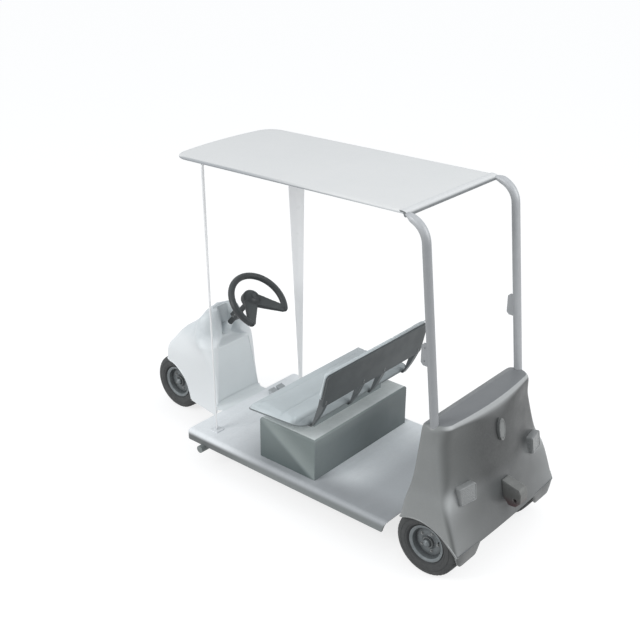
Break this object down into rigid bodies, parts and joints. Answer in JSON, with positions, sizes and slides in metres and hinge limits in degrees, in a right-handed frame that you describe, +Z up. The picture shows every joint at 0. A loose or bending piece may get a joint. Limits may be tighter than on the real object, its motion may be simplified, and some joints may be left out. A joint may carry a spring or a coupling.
{
  "type": "three-wheeled electric cart",
  "caption": "Open electric utility cart: flat deck, bench seat on a battery box, flat roof on posts, narrow nose over a steered front wheel.",
  "frame": {"origin": "on the ground, at the middle of the overall length and width", "axes": "+Z up, -Y forward along the cart, +X to the cart's own left"},
  "size_m": [1.14, 3.03, 2.112],
  "materials": {
    "white_body": "gloss white moulded glass fibre",
    "rear_body_grey": "satin grey moulded glass fibre",
    "dash_grey": "satin light grey",
    "deck_grey": "satin light grey",
    "frame_paint": "satin black",
    "axle_iron": "painted dark grey",
    "fork_steel": "satin dark grey",
    "rim_paint": "satin grey",
    "tyre_rubber": "matt",
    "black_plastic": "satin",
    "seat_box_paint": "satin grey-green",
    "battery_case": "matt",
    "seat_pan_paint": "satin grey",
    "seat_vinyl": "grained vinyl",
    "back_board": "matt dark grey",
    "strap_steel": "satin dark grey",
    "lamp_lens": "gloss",
    "fitting_grey": "satin grey",
    "post_paint": "satin grey",
    "pillar_white": "satin white"
  },
  "bodies": {
    "chassis": {"front_cowl": "white_body", "roof": "white_body", "dash_hood": "white_body", "toe_strip": "white_body", "rear_body": "rear_body_grey", "dash_panel": "dash_grey", "deck": "deck_grey", "accelerator_pedal": "deck_grey", "brake_pedal": "deck_grey", "chassis_frame": "frame_paint", "cross_tube": "frame_paint", "leaf_spring_left": "frame_paint", "leaf_spring_right": "frame_paint", "steering_gear": "frame_paint", "rear_axle": "axle_iron", "drive_motor": "axle_iron", "steering_column": "black_plastic", "column_bracket": "black_plastic", "seat_box": "seat_box_paint", "battery_pack": "battery_case", "seat_pan": "seat_pan_paint", "seat_cushion": "seat_vinyl", "backrest_pad": "seat_vinyl", "backrest_board": "back_board", "back_strap_left": "strap_steel", "back_strap_inner_left": "strap_steel", "back_strap_inner_right": "strap_steel", "back_strap_right": "strap_steel", "tail_lamp_left": "lamp_lens", "tail_lamp_right": "lamp_lens", "charge_port_cover": "fitting_grey", "tow_hitch": "fitting_grey", "rear_post_left": "post_paint", "rear_post_right": "post_paint", "roof_cross_tube": "post_paint", "post_hook_left": "post_paint", "post_hook_right": "post_paint", "front_pillar_left": "pillar_white", "front_pillar_right": "pillar_white"},
    "front_fork": {"front_fork": "fork_steel"},
    "front_wheel": {"front_rim": "rim_paint", "front_tyre": "tyre_rubber"},
    "rear_left_wheel": {"rear_left_rim": "rim_paint", "rear_left_tyre": "tyre_rubber"},
    "rear_right_wheel": {"rear_right_rim": "rim_paint", "rear_right_tyre": "tyre_rubber"},
    "steering_wheel": {"steering_wheel": "black_plastic"}
  },
  "joints": [
    {"name": "fork_steer", "type": "hinge", "parent": "chassis", "child": "front_fork", "pos_m": [0, -1.312, 0.5], "axis": [0, 0, 1], "range_deg": [-35, 35]},
    {"name": "steering_wheel_turn", "type": "hinge", "parent": "chassis", "child": "steering_wheel", "pos_m": [0, -0.603, 1.064], "axis": [0, 0.6626, 0.749], "range_deg": [-270, 270]},
    {"name": "front_wheel_spin", "type": "hinge", "parent": "front_fork", "child": "front_wheel", "pos_m": [0, -1.312, 0.203], "axis": [1, 0, 0], "continuous": true},
    {"name": "rear_left_wheel_spin", "type": "hinge", "parent": "chassis", "child": "rear_left_wheel", "pos_m": [0.407, 1.194, 0.203], "axis": [1, 0, 0], "continuous": true},
    {"name": "rear_right_wheel_spin", "type": "hinge", "parent": "chassis", "child": "rear_right_wheel", "pos_m": [-0.407, 1.194, 0.203], "axis": [1, 0, 0], "continuous": true}
  ],
  "couplings": [
    {"joint": "steering_wheel_turn", "follows": "fork_steer", "ratio": 7.7143}
  ]
}
